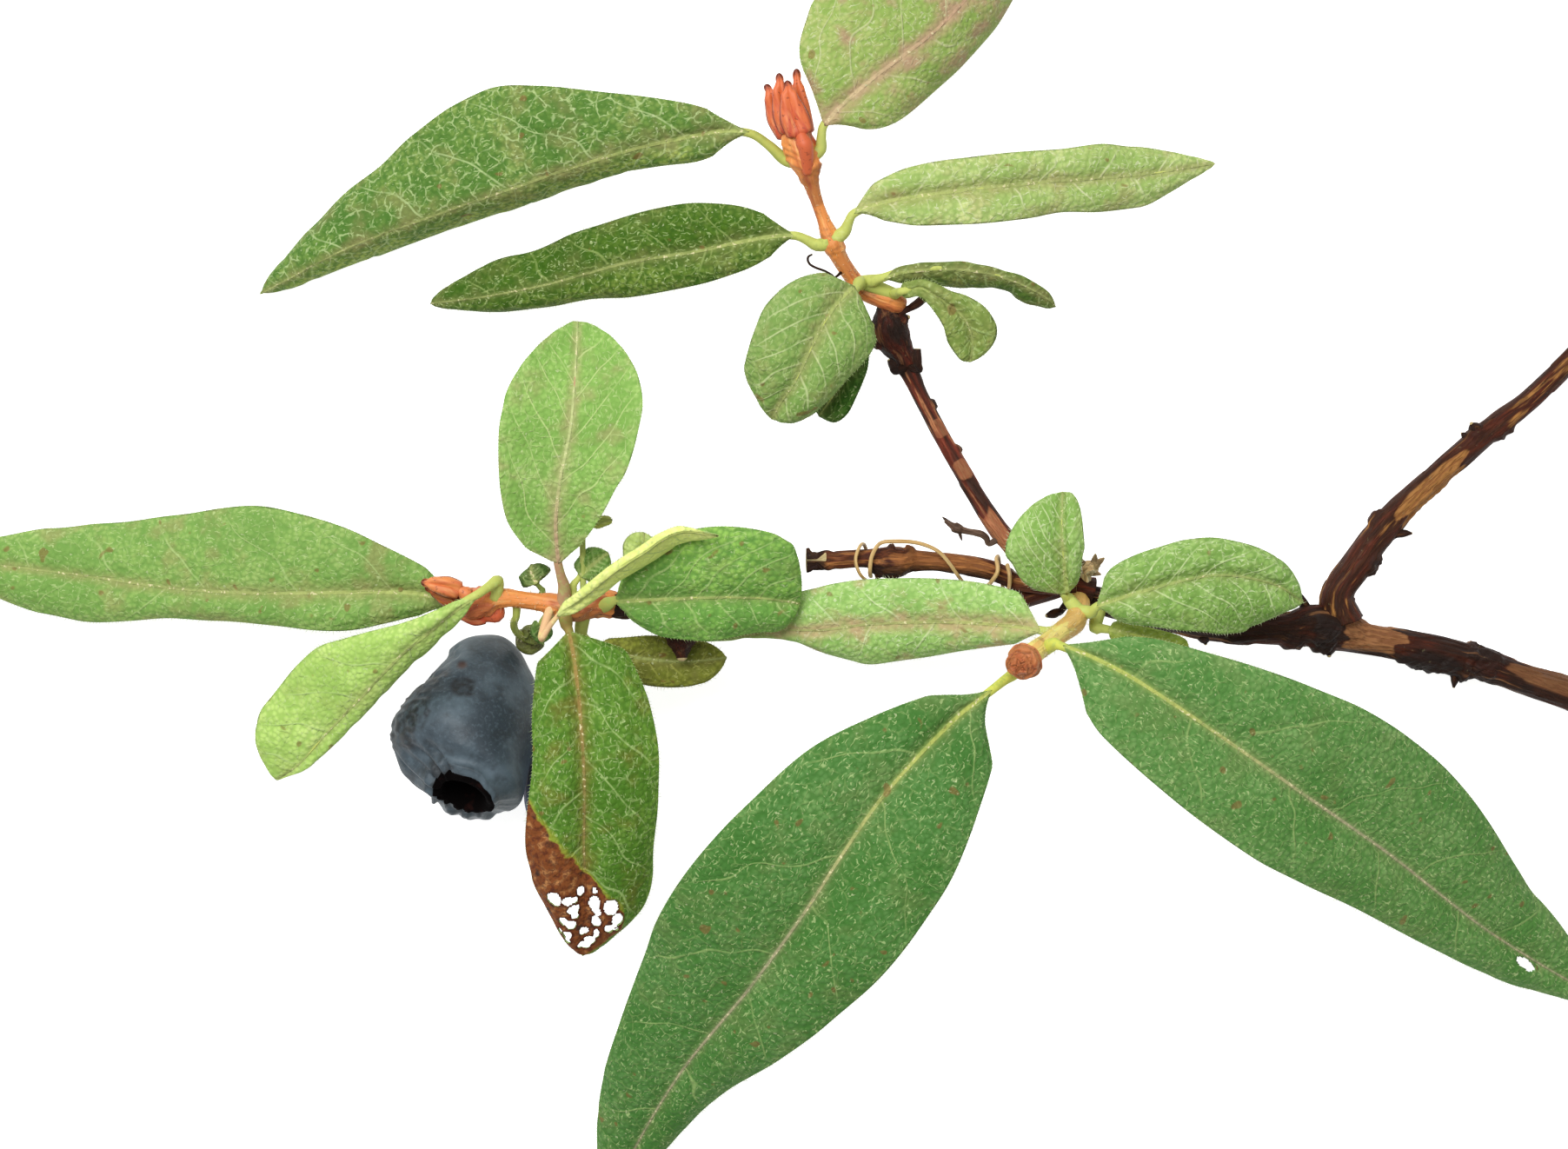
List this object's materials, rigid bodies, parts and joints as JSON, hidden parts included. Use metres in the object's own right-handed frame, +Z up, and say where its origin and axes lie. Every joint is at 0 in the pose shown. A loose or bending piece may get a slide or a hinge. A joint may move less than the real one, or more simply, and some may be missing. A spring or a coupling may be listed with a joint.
{
  "type": "blue honeysuckle sprig",
  "caption": "Cut sprig of blue honeysuckle lying flat: forked woody stem, downy oval leaves on short shoots, buds, a dry tendril and a pair of blue berries.",
  "frame": {"origin": "centre of the bounding box, on the surface the sprig lies on", "axes": "+X from the leaf tip at the left to the cut stem at the right, +Y towards the uppermost leaves, +Z up, away from the surface it lies on"},
  "size_m": [0.173, 0.1314, 0.0291],
  "materials": {
    "leaf": "matte",
    "bark": "matte",
    "dead_wood": "matte",
    "young_shoot": "satin",
    "bud": "matte",
    "berry": "matte",
    "berry_stalk": "matte",
    "tendril": "matte"
  },
  "bodies": {
    "root": {"main_stem": "bark", "fork_branch": "bark", "upper_twig": "bark", "cut_stub": "bark", "lower_twig": "bark", "dead_twiglet": "dead_wood", "brown_twiglet": "dead_wood", "upper_spur_right": "dead_wood", "upper_spur_left": "dead_wood", "dead_stub": "dead_wood", "old_bud_scales": "bark", "dried_curl": "dead_wood", "tendril": "tendril", "upper_shoot": "young_shoot", "left_shoot": "young_shoot", "centre_shoot": "young_shoot", "upper_bud_scale_1": "bud", "upper_bud_scale_2": "bud", "upper_bud_scale_3": "bud", "upper_bud_scale_4": "bud", "left_bud_scale_1": "bud", "left_bud_scale_2": "bud", "left_bud_scale_3": "bud", "centre_bud": "bud", "berry_large": "berry", "berry_small": "berry", "berry_stalk": "berry_stalk", "berry_cup": "berry_stalk", "leaf_upper_left": "leaf", "leaf_top_right": "leaf", "leaf_second_left": "leaf", "leaf_second_right": "leaf", "leaf_rolled": "leaf", "leaf_spoon": "leaf", "leaf_hanging": "leaf", "leaf_hanging_behind": "leaf", "leaf_far_left": "leaf", "leaf_folded": "leaf", "leaf_upright": "leaf", "leaf_behind_right": "leaf", "leaf_behind_left": "leaf", "leaf_under_shoot": "leaf", "leaf_edge_on": "leaf", "leaf_oval": "leaf", "leaf_front": "leaf", "leaf_under_front": "leaf", "leaf_tip_behind_oval": "leaf", "leaf_scrap": "leaf", "leaf_narrow": "leaf", "leaf_small_up": "leaf", "leaf_right": "leaf", "leaf_lower_right": "leaf", "leaf_lower_left": "leaf", "leaf_partly_hidden": "leaf"}
  },
  "joints": []
}
